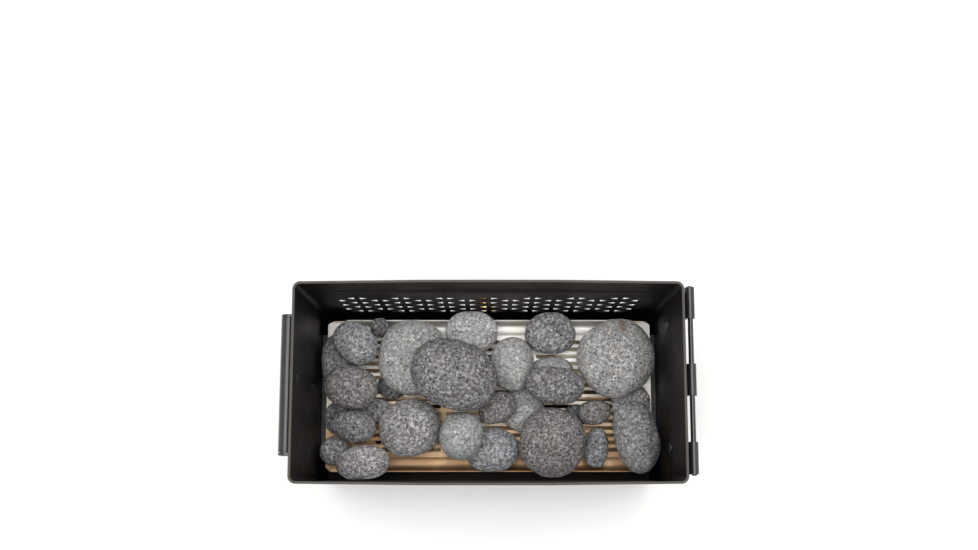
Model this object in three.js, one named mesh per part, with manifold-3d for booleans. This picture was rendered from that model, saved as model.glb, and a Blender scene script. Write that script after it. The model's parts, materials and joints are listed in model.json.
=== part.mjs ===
// A stone heater in an open steel box: a lidless ammunition-can body with vented long walls, a gas burner
// pan inside it, a slotted stainless tray over the burner, and a bed of rounded lava stones on the tray.
// Millimetres, +Z up. The origin is the middle of the can's underside. +X points to the hinge end, and +Y
// to the wall that carries the gas inlet.
import * as THREE from "three";
import { mergeGeometries, mergeVertices } from "three/addons/utils/BufferGeometryUtils.js";
import Module from "manifold-3d";

const wasm = await Module();
wasm.setup();

// ---- Driving dimensions ---------------------------------------------------------------------

// Can: a bent and welded sheet-steel body with a folded hem round its mouth
const CAN_LENGTH = 283.8;
const CAN_WIDTH = 144.8;
const CAN_HEIGHT = 180;
const SHEET = 1.2;
const CORNER_RADIUS = 5;
const WALL_BOW = 1.2; // how far the long walls bulge at mid length
const HEM_PROUD = 0.6;
const HEM_DEPTH = 6;
const OUTLINE_STEPS = 6;

// Flat panels pressed into the bowed long walls, and the triangular vents cut in them
const PANEL = { halfLength: 124, low: 42, high: 145, depth: 0.4, slopeSteps: 2, slope: 1.2 };
const VENT = { columns: 14, rows: 7, pitch: 17.25, web: 4, topRow: 116.5 };

// Hinge half on the right-hand end wall, welded on a little behind the middle
const HINGE = { axisX: 149, axisZ: 165, middleY: 2.4, barrelRadius: 3.4, pinRadius: 2, bore: 2.3 };
const KNUCKLE = { width: 23.5, spacing: 57 };
const LEAF = { low: 104, high: 150, rivetY: 48, rivetZ: 118 };

// Latch on the left-hand end wall
const LATCH = { axisX: -149.4, axisZ: 152, barrelRadius: 5.8, bore: 4.6, tubeRadius: 4.3, tubeBore: 3.1 };
const LEVER = { halfWidth: 50, low: 90, cheek: 1.2 };
const EAR = { inner: 50.4, outer: 52.4 };
const BAIL = { wireRadius: 1.3, pivotX: -150, pivotZ: 134, drop: 50, legY: 54.1, endY: 46 };
const BAIL_BEND = { foot: 5, eye: 2.6 };
const BRACKET = { low: 112, high: 158 };

// Burner pan, its supports, and the tray over it
const PAN = { halfLength: 128.5, halfWidth: 51, floor: 12.1, top: 50.3, sheet: 1 };
const PAN_FLANGE = { halfLength: 135.5, halfWidth: 63.2, corner: 6, hem: 2, hemSheet: 0.8 };
const SUPPORT = { halfLength: 52, shelf: 10.6, leg: 19, sheet: 1.4, rivetY: 38, rivetZ: 38 };
const TRAY = { halfLength: 119.5, lipY: 63.4, lipZ: 58, deckY: 51.5, deckZ: 53, gutterZ: 51.6, sheet: 1 };
const TRAY_END = { halfLength: 135, halfWidth: 61, corner: 3 };
const SLOT = { width: 3, pitch: 6, count: 16, spans: 3, length: 224, bridge: 4 };

// Burner and gas line
const BURNER = { z: 30, radius: 9.5, wall: 1, halfLength: 100, ports: 15, portPitch: 12, portRadius: 1.5 };
const GAS = { x: -4, shankRadius: 5, hole: 5.35, start: 62, spigotRadius: 4.5, end: 90.5 };
const GAS_HEX = { flats: 14, length: 6.1 };
const BULKHEAD = { washer: 0.8, washerRadius: 8.6, nutFlats: 15, nutLength: 5.5 };
const JET = { tip: 54.5, shoulder: 57, radius: 3, collar: 4.2, bore: 0.5 };
const MIXER = { radius: 6.5, bore: 5.5, mouth: 9, mouthBore: 8, start: 9.9, neck: 52, end: 58 };
const SADDLE = { x: 70, halfLength: 7, halfWidth: 15, foot: 2 };

// Rivets: the hole they sit in, and their shank and domed heads
const RIVET = { hole: 2.3, shank: 1.9, head: 4.2, dome: 1.5 };

// The outer face of the end walls, and of the long walls at their middle
const endWall = CAN_LENGTH / 2;
const longWall = CAN_WIDTH / 2 + WALL_BOW;

// The gap left between two pieces that touch
const GAP = 0.3;

// Sides of the round parts
const FINE_SIDES = 24;
const SMALL_SIDES = 12;

// Stones: how boxy their rounding is, how deep their hollows are, and the room left round and under each one
const STONE = { power: 2.2, hollow: 0.05, detail: 1, room: 0.3, lift: 0.4 };

// How far a stone may slide to lie lower, and how much lower each millimetre of that has to bring it
const SLIDE = { reach: 5, cost: 1.5 };

// The bed of stones, in the order that they are laid: first the low ones that others half cover, then the
// main layer, then the ones on top. Each has its place right of and behind the middle of the box, its length,
// width and thickness, its turn in degrees, its lean (up to the right, up to the back) and its shade.
const STONES = [
  [-123, 23, 55, 31, 24, 97, 0, 0, "blue"],
  [-122, -19, 29, 28, 18, 0, 0, 0, "blue"],
  [-95, -13, 29, 20, 13, 0, 0, 0, "grey"],
  [-80, 8, 24, 24, 14, 0, 0, 0, "dark"],
  [117, -7, 32, 32, 16, 0, 0, 0, "grey"],
  [28, -12, 38, 37, 18, 60, 0, 0, "light"],
  [52, 18, 38, 30, 18, 0, 0, 0, "light"],
  [72, -17, 20, 20, 12, 0, 0, 0, "dark"],
  [88, -44, 34, 22, 18, 86, 0, 0, "blue"],
  [3, -46, 44, 37, 24, 8, 0, 0, "blue"],
  [-62, 29, 63, 57, 35, 88, 0, 0, "light"],
  [103, 28, 66, 63, 42, 30, 0, 0, "light"],
  [-66, -23, 53, 50, 36, 10, 0, 0, "grey"],
  [51, -40, 58, 56, 42, 80, 0, 0, "brown"],
  [118, -36, 61, 38, 34, 102, 0, 0, "grey"],
  [-15, 51, 44, 36, 28, 0, 0, 0.04, "light"],
  [14, 27, 45, 37, 28, 92, 0, 0, "light"],
  [46, 48, 42, 35, 26, -6, 0, 0.03, "dark"],
  [-24, -35, 40, 36, 28, 80, 0, 0, "green"],
  [3, -16, 34, 25, 17, 24, 0, 0, "brown"],
  [88, -17, 27, 21, 17, 6, 0, 0, "brown"],
  [-126, -43, 27, 23, 19, 20, 0, 0, "grey"],
  [-99, -55, 44, 28, 23, 5, 0, 0, "grey"],
  [-87, 54, 17, 16, 14, 0, 0, 0, "dark"],
  [-109, -27, 39, 27, 20, -8, 0.04, 0.04, "dark"],
  [-106, 39, 42, 33, 24, -40, 0.05, 0.05, "blue"],
  [-109, 3, 45, 36, 26, -8, 0, 0.04, "brown"],
  [-27, 12, 74, 56, 40, -18, -0.06, 0.04, "dark"],
  [54, 4, 48, 32, 25, -9, 0.03, 0.06, "dark"],
];

// ---- Materials ------------------------------------------------------------------------------

const finish = (color, roughness, metalness) =>
  new THREE.MeshStandardMaterial({ color, roughness, metalness });
const BLACK_PAINT = finish(0x1a1817, 0.5, 0.2);
const DARK_STEEL = finish(0x55524f, 0.45, 0.8);
const STAINLESS = finish(0xb9b6b0, 0.3, 1);
const HEATED_STEEL = finish(0x8d6b4a, 0.35, 1);
const BRASS = finish(0xa67c3d, 0.35, 1);
const STONE_SHADES = {
  light: finish(0x9b9c9a, 0.95, 0),
  grey: finish(0x8b8986, 0.95, 0),
  dark: finish(0x6d6c6e, 0.95, 0),
  brown: finish(0x7e7a76, 0.95, 0),
  blue: finish(0x7b8087, 0.95, 0),
  green: finish(0x8d9690, 0.95, 0),
};

// ---- Shape helpers --------------------------------------------------------------------------

// A closed geometry as a solid that can be joined and cut.
function solid(geometry) {
  const bare = geometry.index ? geometry.toNonIndexed() : geometry.clone();
  bare.deleteAttribute("normal");
  bare.deleteAttribute("uv");
  const merged = mergeVertices(bare, 1e-4);
  const vertProperties = merged.attributes.position.array;
  const triVerts = new Uint32Array(merged.index.array);
  return new wasm.Manifold(new wasm.Mesh({ numProp: 3, vertProperties, triVerts }));
}

// A solid as a geometry with flat faces.
function geometryOf(body) {
  const { vertProperties, triVerts } = body.getMesh();
  const indexed = new THREE.BufferGeometry();
  indexed.setAttribute("position", new THREE.BufferAttribute(new Float32Array(vertProperties), 3));
  indexed.setIndex(new THREE.BufferAttribute(new Uint32Array(triVerts), 1));
  const geometry = indexed.toNonIndexed();
  geometry.computeVertexNormals();
  return geometry;
}

const joined = (...geometries) => geometries.map(solid).reduce((whole, piece) => whole.add(piece));
const cutters = (geometries) => solid(mergeGeometries(geometries));

function node(name, shape, material) {
  const geometry = shape.isBufferGeometry ? shape : geometryOf(shape);
  const mesh = new THREE.Mesh(geometry, material);
  mesh.name = name;
  return mesh;
}

function placed(mesh, x, y, z) {
  mesh.position.set(x, y, z);
  return mesh;
}

function box(x0, x1, y0, y1, z0, z1) {
  const geometry = new THREE.BoxGeometry(x1 - x0, y1 - y0, z1 - z0);
  return geometry.translate((x0 + x1) / 2, (y0 + y1) / 2, (z0 + z1) / 2);
}

const extruded = (shape, depth, curveSegments) =>
  new THREE.ExtrudeGeometry(shape, { depth, curveSegments, steps: 1, bevelEnabled: false });

// An outline in X and Y, extruded up.
const upward = (shape, z0, z1, steps = 6) => extruded(shape, z1 - z0, steps).translate(0, 0, z0);

// An outline in Y and Z, extruded along X.
function alongX(shape, x0, x1, steps = 6) {
  const turn = new THREE.Matrix4().makeBasis(
    new THREE.Vector3(0, 1, 0), new THREE.Vector3(0, 0, 1), new THREE.Vector3(1, 0, 0));
  return extruded(shape, x1 - x0, steps).applyMatrix4(turn).translate(x0, 0, 0);
}

// An outline in X and Z, extruded along Y.
function alongY(shape, y0, y1, steps = 6) {
  const turn = new THREE.Matrix4().makeBasis(
    new THREE.Vector3(1, 0, 0), new THREE.Vector3(0, 0, 1), new THREE.Vector3(0, -1, 0));
  return extruded(shape, y1 - y0, steps).applyMatrix4(turn).translate(0, y1, 0);
}

const polygon = (points) => new THREE.Shape(points.map(([x, y]) => new THREE.Vector2(x, y)));

// The outline of a sheet of the given thickness that follows a line of points.
function sheetOutline(points, thickness) {
  const line = points.map(([x, y]) => new THREE.Vector2(x, y));
  const ahead = (i) => line[i + 1].clone().sub(line[i]).normalize();
  const side = (sign) => line.map((point, i) => {
    const before = ahead(Math.max(i - 1, 0));
    const after = ahead(Math.min(i, line.length - 2));
    const mitre = before.clone().add(after).normalize();
    const reach = (sign * thickness) / 2 / mitre.dot(after);
    return new THREE.Vector2(point.x - mitre.y * reach, point.y + mitre.x * reach);
  });
  return new THREE.Shape([...side(-1), ...side(1).reverse()]);
}

// Points along an arc, in degrees.
function arc(x, y, radius, from, to, steps) {
  return Array.from({ length: steps + 1 }, (_, i) => {
    const angle = THREE.MathUtils.degToRad(from + ((to - from) * i) / steps);
    return [x + radius * Math.cos(angle), y + radius * Math.sin(angle)];
  });
}

const disc = (x, y, radius, sides) => polygon(arc(x, y, radius, 0, 360, sides).slice(0, -1));

function roundedRectangle(halfLength, halfWidth, radius) {
  const [x, y] = [halfLength - radius, halfWidth - radius];
  return polygon([
    ...arc(x, y, radius, 0, 90, 4), ...arc(-x, y, radius, 90, 180, 4),
    ...arc(-x, -y, radius, 180, 270, 4), ...arc(x, -y, radius, 270, 360, 4),
  ]);
}

// A turned part about the Y axis at x and z, from its closed profile of [radius, y] points.
function turnedY(profile, sides, x, z) {
  const points = profile.map(([radius, y]) => new THREE.Vector2(radius, y));
  return new THREE.LatheGeometry([...points, points[0].clone()], sides).translate(x, 0, z);
}

const hexagon = (flats) => flats / Math.sqrt(3);

// ---- Can ------------------------------------------------------------------------------------

// The can's outline in plan, larger or smaller by a given amount, with bowed long sides.
function canOutline(grow) {
  const [x, y] = [CAN_LENGTH / 2 + grow, CAN_WIDTH / 2 + grow];
  const radius = CORNER_RADIUS + grow;
  const shape = new THREE.Shape();
  shape.moveTo(x, -y + radius);
  shape.lineTo(x, y - radius);
  shape.absarc(x - radius, y - radius, radius, 0, Math.PI / 2);
  shape.quadraticCurveTo(0, y + 2 * WALL_BOW, -x + radius, y);
  shape.absarc(-x + radius, y - radius, radius, Math.PI / 2, Math.PI);
  shape.lineTo(-x, -y + radius);
  shape.absarc(-x + radius, -y + radius, radius, Math.PI, 1.5 * Math.PI);
  shape.quadraticCurveTo(0, -y - 2 * WALL_BOW, x - radius, -y);
  shape.absarc(x - radius, -y + radius, radius, 1.5 * Math.PI, 2 * Math.PI);
  return shape;
}

const canBlock = (grow, z0, z1) => solid(upward(canOutline(grow), z0, z1, OUTLINE_STEPS));

// What the pressed-in panels take off each long side: flat slabs, each deeper in a slightly smaller window.
function panelSlabs(grow) {
  const slabs = [];
  for (let step = 0; step < PANEL.slopeSteps; step++) {
    const depth = (PANEL.depth + WALL_BOW) * (1 - (step + 1) / PANEL.slopeSteps) - PANEL.depth;
    const face = CAN_WIDTH / 2 + depth + grow;
    const inset = PANEL.slope * step + grow;
    const [x, low, high] = [PANEL.halfLength - inset, PANEL.low + inset, PANEL.high - inset];
    slabs.push(box(-x, x, face, CAN_WIDTH, low, high), box(-x, x, -CAN_WIDTH, -face, low, high));
  }
  return slabs.map(solid).reduce((whole, slab) => whole.add(slab));
}

// Triangular vents that leave a grid of even webs, through both long walls.
function ventCutters() {
  const inset = VENT.web / 2;
  const half = (VENT.pitch - 3 * inset) / Math.sqrt(3);
  const cuts = [];
  for (let column = 0; column < VENT.columns; column++) {
    const left = (column - VENT.columns / 2) * VENT.pitch;
    for (let row = 0; row < VENT.rows; row++) {
      const z = VENT.topRow - (row * VENT.pitch) / Math.sqrt(3);
      const pointsLeft = (column + row) % 2 === 0;
      const apex = pointsLeft ? left + 2 * inset : left + VENT.pitch - 2 * inset;
      const base = pointsLeft ? left + VENT.pitch - inset : left + inset;
      const outline = pointsLeft
        ? [[apex, z], [base, z - half], [base, z + half]]
        : [[apex, z], [base, z + half], [base, z - half]];
      cuts.push(alongY(polygon(outline), -CAN_WIDTH, CAN_WIDTH));
    }
  }
  return cutters(cuts);
}

function canBody() {
  const hem = canBlock(HEM_PROUD, CAN_HEIGHT - HEM_DEPTH, CAN_HEIGHT);
  const outside = canBlock(0, 0, CAN_HEIGHT).add(hem).subtract(panelSlabs(0));
  const inside = canBlock(-SHEET, SHEET, CAN_HEIGHT + SHEET).subtract(panelSlabs(-SHEET));
  const holes = [];
  for (const y of [-SUPPORT.rivetY, SUPPORT.rivetY])
    holes.push(alongX(disc(y, SUPPORT.rivetZ, RIVET.hole, SMALL_SIDES), -CAN_LENGTH, CAN_LENGTH));
  for (const y of [HINGE.middleY - LEAF.rivetY, HINGE.middleY + LEAF.rivetY])
    holes.push(alongX(disc(y, LEAF.rivetZ, RIVET.hole, SMALL_SIDES), 0, CAN_LENGTH));
  holes.push(alongY(disc(GAS.x, BURNER.z, GAS.hole, FINE_SIDES), 0, CAN_WIDTH));
  return outside.subtract(inside).subtract(ventCutters()).subtract(cutters(holes));
}

// ---- Rivets ---------------------------------------------------------------------------------

// A rivet along X whose heads clamp a stack that reaches from its middle half a grip each way.
function rivet(grip) {
  const half = grip / 2;
  const profile = [
    [0, -half - RIVET.dome], [RIVET.head * 0.7, -half - RIVET.dome * 0.8], [RIVET.head, -half],
    [RIVET.shank, -half], [RIVET.shank, half], [RIVET.head, half],
    [RIVET.head * 0.7, half + RIVET.dome * 0.8], [0, half + RIVET.dome],
  ];
  const points = profile.map(([radius, y]) => new THREE.Vector2(radius, y));
  return new THREE.LatheGeometry(points, SMALL_SIDES).rotateZ(-Math.PI / 2);
}

// ---- Hinge half -----------------------------------------------------------------------------

function knuckle(y) {
  const { axisX, axisZ, barrelRadius, bore } = HINGE;
  const [y0, y1] = [y - KNUCKLE.width / 2, y + KNUCKLE.width / 2];
  const neck = axisX - barrelRadius + SHEET / 2;
  const leafX = endWall + GAP + SHEET / 2;
  const strap = sheetOutline(
    [[neck, axisZ], [neck, axisZ - 6], [leafX, LEAF.high], [leafX, LEAF.low + 6]], SHEET);
  const barrel = alongY(disc(axisX, axisZ, barrelRadius, FINE_SIDES), y0, y1);
  const hole = alongY(disc(axisX, axisZ, bore, SMALL_SIDES), y0 - 1, y1 + 1);
  return joined(barrel, alongY(strap, y0, y1)).subtract(solid(hole));
}

function hingeLeaf() {
  const reach = KNUCKLE.spacing + KNUCKLE.width / 2;
  const plate = box(endWall + GAP, endWall + GAP + SHEET, -reach, reach, LEAF.low, LEAF.high - 4);
  const holes = [-LEAF.rivetY, LEAF.rivetY].map((y) =>
    alongX(disc(y, LEAF.rivetZ, RIVET.hole, SMALL_SIDES), endWall - 1, endWall + 3));
  const knuckles = [-KNUCKLE.spacing, 0, KNUCKLE.spacing].map(knuckle);
  return knuckles.reduce((whole, piece) => whole.add(piece), solid(plate)).subtract(cutters(holes));
}

function hingePin() {
  const reach = KNUCKLE.spacing + KNUCKLE.width / 2 + 1;
  const profile = [[0, -reach], [HINGE.pinRadius - 0.5, -reach], [HINGE.pinRadius, -reach + 0.8],
    [HINGE.pinRadius, reach - 0.8], [HINGE.pinRadius - 0.5, reach], [0, reach]];
  const points = profile.map(([radius, y]) => new THREE.Vector2(radius, y));
  return new THREE.LatheGeometry(points, SMALL_SIDES).translate(HINGE.axisX, 0, HINGE.axisZ);
}

// ---- Latch ----------------------------------------------------------------------------------

// A plate on the wall with an ear at each end that holds the pivot tube.
function latchBracket() {
  const { axisX, axisZ, barrelRadius, bore } = LATCH;
  const wall = -endWall - GAP;
  const plate = box(wall - SHEET, wall, -EAR.outer, EAR.outer, BRACKET.low, BRACKET.high);
  const ear = polygon([
    [wall - 0.1, axisZ - barrelRadius], ...arc(axisX, axisZ, barrelRadius, 270, 90, FINE_SIDES / 2),
    [wall - 0.1, axisZ + barrelRadius],
  ].reverse());
  const ears = [[-EAR.outer, -EAR.inner], [EAR.inner, EAR.outer]].map(([y0, y1]) => alongY(ear, y0, y1));
  const hole = alongY(disc(axisX, axisZ, bore, FINE_SIDES), -EAR.outer - 1, EAR.outer + 1);
  return joined(plate, ...ears).subtract(solid(hole));
}

function latchPivotTube() {
  const reach = EAR.outer + GAP;
  const { tubeRadius, tubeBore } = LATCH;
  const profile = [[tubeBore, -reach], [tubeRadius, -reach], [tubeRadius, reach], [tubeBore, reach]];
  return turnedY(profile, FINE_SIDES, LATCH.axisX, LATCH.axisZ);
}

// A plate that hangs from a rolled barrel, with a cheek folded in at each side for the bail.
function latchLever() {
  const { axisX, axisZ, barrelRadius, bore } = LATCH;
  const { halfWidth, low, cheek } = LEVER;
  const plateX = axisX - barrelRadius + SHEET / 2;
  const plate = sheetOutline([[plateX, axisZ], [plateX, low + 14], [plateX + 2.6, low]], SHEET);
  const cheekOutline = polygon([
    [plateX + 0.2, axisZ - 9], [plateX + 0.2, low + 16], [plateX + 3, low + 20],
    [BAIL.pivotX + 4, BAIL.pivotZ - 5], [BAIL.pivotX + 4, BAIL.pivotZ + 4], [axisX - 1, axisZ - 9],
  ]);
  const cheeks = [[-halfWidth, -halfWidth + cheek], [halfWidth - cheek, halfWidth]]
    .map(([y0, y1]) => alongY(cheekOutline, y0, y1));
  const barrel = alongY(disc(axisX, axisZ, barrelRadius, FINE_SIDES), -halfWidth, halfWidth);
  const bores = [
    alongY(disc(axisX, axisZ, bore, FINE_SIDES), -halfWidth - 1, halfWidth + 1),
    alongY(disc(BAIL.pivotX, BAIL.pivotZ, BAIL.wireRadius + 0.4, SMALL_SIDES), -halfWidth - 1, halfWidth + 1),
  ];
  return joined(alongY(plate, -halfWidth, halfWidth), barrel, ...cheeks).subtract(cutters(bores));
}

// A wire loop whose ends turn in through the lever's cheeks.
function latchBail() {
  const { wireRadius, pivotX, pivotZ, drop, legY, endY } = BAIL;
  const { foot: bend, eye: eyeBend } = BAIL_BEND;
  const foot = pivotZ - drop;
  const line = [
    [-endY, pivotZ], ...arc(-legY + eyeBend, pivotZ - eyeBend, eyeBend, 90, 180, 4),
    ...arc(-legY + bend, foot + bend, bend, 180, 270, 4),
    ...arc(legY - bend, foot + bend, bend, 270, 360, 4),
    ...arc(legY - eyeBend, pivotZ - eyeBend, eyeBend, 0, 90, 4), [endY, pivotZ],
  ].map(([y, z]) => new THREE.Vector3(pivotX, y, z));
  const path = new THREE.CurvePath();
  for (let i = 1; i < line.length; i++) path.add(new THREE.LineCurve3(line[i - 1], line[i]));
  const smooth = new THREE.CatmullRomCurve3(path.getSpacedPoints(96), false, "centripetal");
  return new THREE.ExtrudeGeometry(disc(0, 0, wireRadius, 8), { steps: 48, extrudePath: smooth });
}

// ---- Burner pan and supports ----------------------------------------------------------------

function burnerPan() {
  const { halfLength, halfWidth, floor, top, sheet } = PAN;
  const tub = box(-halfLength, halfLength, -halfWidth, halfWidth, floor, top);
  const hollow = box(-halfLength + sheet, halfLength - sheet, -halfWidth + sheet, halfWidth - sheet,
    floor + sheet, top + 1);
  const flange = PAN_FLANGE;
  const rim = (grow, z0, z1) => upward(
    roundedRectangle(flange.halfLength + grow, flange.halfWidth + grow, flange.corner + grow), z0, z1);
  const hem = solid(rim(0, top - sheet, top + flange.hem))
    .subtract(solid(rim(-flange.hemSheet, top, top + flange.hem + 1)));
  const holes = [alongY(disc(GAS.x, BURNER.z, MIXER.radius + 0.5, FINE_SIDES), 0, 2 * halfWidth)];
  for (const x of [-96, 0, 96])
    for (const y of [-36, 36]) holes.push(upward(disc(x, y, 3, SMALL_SIDES), 0, top / 2));
  return solid(tub).add(hem).subtract(solid(hollow)).subtract(cutters(holes));
}

// An angle riveted to the right-hand end wall; the left-hand one is the same piece turned round.
function panSupport() {
  const { halfLength, shelf, leg, sheet, rivetY, rivetZ } = SUPPORT;
  const wall = endWall - SHEET - GAP;
  const top = PAN.top - PAN.sheet - GAP;
  const outline = sheetOutline([[wall - shelf, top - sheet / 2], [wall - sheet / 2, top - sheet / 2],
    [wall - sheet / 2, top - leg]], sheet);
  const holes = [-rivetY, rivetY].map((y) => alongX(disc(y, rivetZ, RIVET.hole, SMALL_SIDES), 0, endWall));
  return solid(alongY(outline, -halfLength, halfLength)).subtract(cutters(holes));
}

// ---- Slotted tray ---------------------------------------------------------------------------

function stoneTray() {
  const { halfLength, lipY, lipZ, deckY, deckZ, gutterZ, sheet } = TRAY;
  const half = sheet / 2;
  const side = (sign) => [
    [sign * (deckY - 1), deckZ - half], [sign * (deckY + 1.6), gutterZ - half],
    [sign * (deckY + 6), gutterZ - half], [sign * (lipY - 3.2), gutterZ + 0.7],
    [sign * (lipY - 1.1), gutterZ + 2.9], [sign * (lipY - half), lipZ],
  ];
  const section = sheetOutline([...side(-1).reverse(), ...side(1)], sheet);
  const pieces = [alongX(section, -halfLength, halfLength)];
  for (const sign of [-1, 1]) {
    const [x0, x1] = [sign * (halfLength - sheet), sign * halfLength].sort((a, b) => a - b);
    pieces.push(box(x0, x1, -deckY, deckY, deckZ - sheet, lipZ));
    const { halfLength: end, halfWidth, corner } = TRAY_END;
    const inner = halfLength - sheet;
    const flange = polygon([
      [sign * inner, -halfWidth],
      ...arc(sign * (end - corner), -halfWidth + corner, corner, 270, sign > 0 ? 360 : 180, 4),
      ...arc(sign * (end - corner), halfWidth - corner, corner, sign > 0 ? 0 : 180, 90, 4),
      [sign * inner, halfWidth],
    ]);
    pieces.push(upward(flange, lipZ - sheet, lipZ));
  }
  const slots = [];
  const span = (SLOT.length - (SLOT.spans - 1) * SLOT.bridge) / SLOT.spans;
  for (let row = 0; row < SLOT.count; row++) {
    const y = (row - (SLOT.count - 1) / 2) * SLOT.pitch;
    for (let i = 0; i < SLOT.spans; i++) {
      const x = -SLOT.length / 2 + i * (span + SLOT.bridge);
      slots.push(box(x, x + span, y - SLOT.width / 2, y + SLOT.width / 2, deckZ - 3, deckZ + 1));
    }
  }
  return joined(...pieces).subtract(cutters(slots));
}

// ---- Burner and gas line --------------------------------------------------------------------

function burnerTube() {
  const { z, radius, wall, halfLength, ports, portPitch, portRadius } = BURNER;
  const rod = (r, reach) => alongX(disc(0, z, r, FINE_SIDES), -reach, reach);
  const holes = Array.from({ length: ports }, (_, i) =>
    upward(disc((i - (ports - 1) / 2) * portPitch, 0, portRadius, 6), z, z + 2 * radius));
  holes.push(alongY(disc(GAS.x, z, MIXER.bore, SMALL_SIDES), 0, 2 * radius));
  return solid(rod(radius, halfLength)).subtract(solid(rod(radius - wall, halfLength + 1)))
    .subtract(holes.map(solid).reduce((whole, piece) => whole.add(piece)));
}

// A cap that plugs the right-hand end of the tube, drawn with its flange's inner face at the origin.
function burnerCap() {
  const plug = BURNER.radius - BURNER.wall - GAP;
  const profile = [[0, -4], [plug, -4], [plug, GAP], [BURNER.radius, GAP], [BURNER.radius, 1.5], [0, 1.5]];
  const points = profile.map(([radius, y]) => new THREE.Vector2(radius, y));
  return new THREE.LatheGeometry(points, FINE_SIDES).rotateZ(-Math.PI / 2);
}

// A block that stands on the pan's floor and cradles the tube.
function burnerSaddle() {
  const foot = PAN.floor + PAN.sheet + GAP - BURNER.z;
  const cradle = BURNER.radius + GAP;
  const { halfLength, halfWidth, foot: thickness } = SADDLE;
  const [top, neck] = [foot + thickness, cradle * 0.8];
  const outline = polygon([
    [-halfWidth, foot], [halfWidth, foot], [halfWidth, top], [neck, top],
    ...arc(0, 0, cradle, -36, -144, 8), [-neck, top], [-halfWidth, top],
  ]);
  return alongX(outline, -halfLength, halfLength);
}

function mixerTube() {
  const { radius, bore, mouth, mouthBore, start, neck, end } = MIXER;
  const profile = [[bore, start], [radius, start], [radius, neck], [mouth, end], [mouthBore, end],
    [bore, neck]];
  return turnedY(profile, FINE_SIDES, GAS.x, BURNER.z);
}

// A small jet, screwed on the inlet's shank, that points into the mixer's mouth.
function gasJet() {
  const { tip, shoulder, radius, collar, bore } = JET;
  const back = GAS.start - GAP;
  const profile = [[bore, tip], [radius / 2, tip], [radius, shoulder], [radius, back - 2], [collar, back - 2],
    [collar, back], [bore, back]];
  return turnedY(profile, SMALL_SIDES, GAS.x, BURNER.z);
}

// A bulkhead fitting: a hexagon outside the wall, a shank through it and a spigot for the hose.
function gasInlet() {
  const { x, shankRadius, start, spigotRadius, end } = GAS;
  const wall = longWall + BULKHEAD.washer + 2 * GAP;
  const hexEnd = wall + GAS_HEX.length;
  const waist = spigotRadius - 1;
  const hex = alongY(disc(x, BURNER.z, hexagon(GAS_HEX.flats), 6), wall, hexEnd);
  const shank = alongY(disc(x, BURNER.z, shankRadius, FINE_SIDES), start, wall + 1);
  const spigot = turnedY([
    [0, hexEnd - 1], [waist, hexEnd - 1], [waist, hexEnd + 1.5], [spigotRadius, hexEnd + 2.5],
    [spigotRadius, end - 2.5], [spigotRadius - 1.8, end], [0, end],
  ], FINE_SIDES, x, BURNER.z);
  const bore = alongY(disc(x, BURNER.z, spigotRadius * 0.4, SMALL_SIDES), start - 1, end + 1);
  return joined(hex, shank, spigot).subtract(solid(bore));
}

function bulkheadWasher() {
  const inner = longWall + GAP;
  const outer = inner + BULKHEAD.washer;
  const { washerRadius } = BULKHEAD;
  const profile = [[GAS.hole, inner], [washerRadius, inner], [washerRadius, outer], [GAS.hole, outer]];
  return turnedY(profile, FINE_SIDES, GAS.x, BURNER.z);
}

function bulkheadNut() {
  const outer = longWall - SHEET - 2 * GAP;
  const inner = outer - BULKHEAD.nutLength;
  const hex = alongY(disc(GAS.x, BURNER.z, hexagon(BULKHEAD.nutFlats), 6), inner, outer);
  const hole = alongY(disc(GAS.x, BURNER.z, GAS.hole, FINE_SIDES), inner - 1, outer + 1);
  return solid(hex).subtract(solid(hole));
}

// ---- Stones ---------------------------------------------------------------------------------

const laid = STONES.map(([x, y, length, width, thickness, turn, leanX, leanY, shade]) => {
  const half = [length / 2, width / 2, thickness / 2];
  return { x, y, half, turn: THREE.MathUtils.degToRad(turn), leanX, leanY, shade };
});

// The heights of all that stones can lie on, kept for each whole millimetre inside the can.
class Bed {
  constructor() {
    this.halfX = Math.floor(CAN_LENGTH / 2 - SHEET - 1);
    this.halfY = Math.floor(CAN_WIDTH / 2 - SHEET - 1);
    this.across = 2 * this.halfX + 1;
    this.top = new Float64Array(this.across * (2 * this.halfY + 1));
    for (let y = -this.halfY; y <= this.halfY; y++)
      for (let x = -this.halfX; x <= this.halfX; x++) this.top[this.cell(x, y)] = this.seat(x, y);
  }

  cell(x, y) {
    return (y + this.halfY) * this.across + x + this.halfX;
  }

  // The tray's deck, or its raised lips and end flanges round it.
  seat(x, y) {
    return Math.abs(x) > TRAY.halfLength - 2 || Math.abs(y) > TRAY.lipY - 4 ? TRAY.lipZ : TRAY.deckZ;
  }

  holds(shape, x, y) {
    return Math.abs(x) + shape.reachX <= this.halfX && Math.abs(y) + shape.reachY <= this.halfY;
  }

  restingHeight(shape, x, y) {
    let height = 0;
    for (const { dx, dy, low } of shape.columns)
      height = Math.max(height, this.top[this.cell(x + dx, y + dy)] + STONE.lift - low);
    return height;
  }

  lay(shape, x, y, z) {
    for (const { dx, dy, high } of shape.columns) this.top[this.cell(x + dx, y + dy)] = z + high;
  }
}

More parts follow.
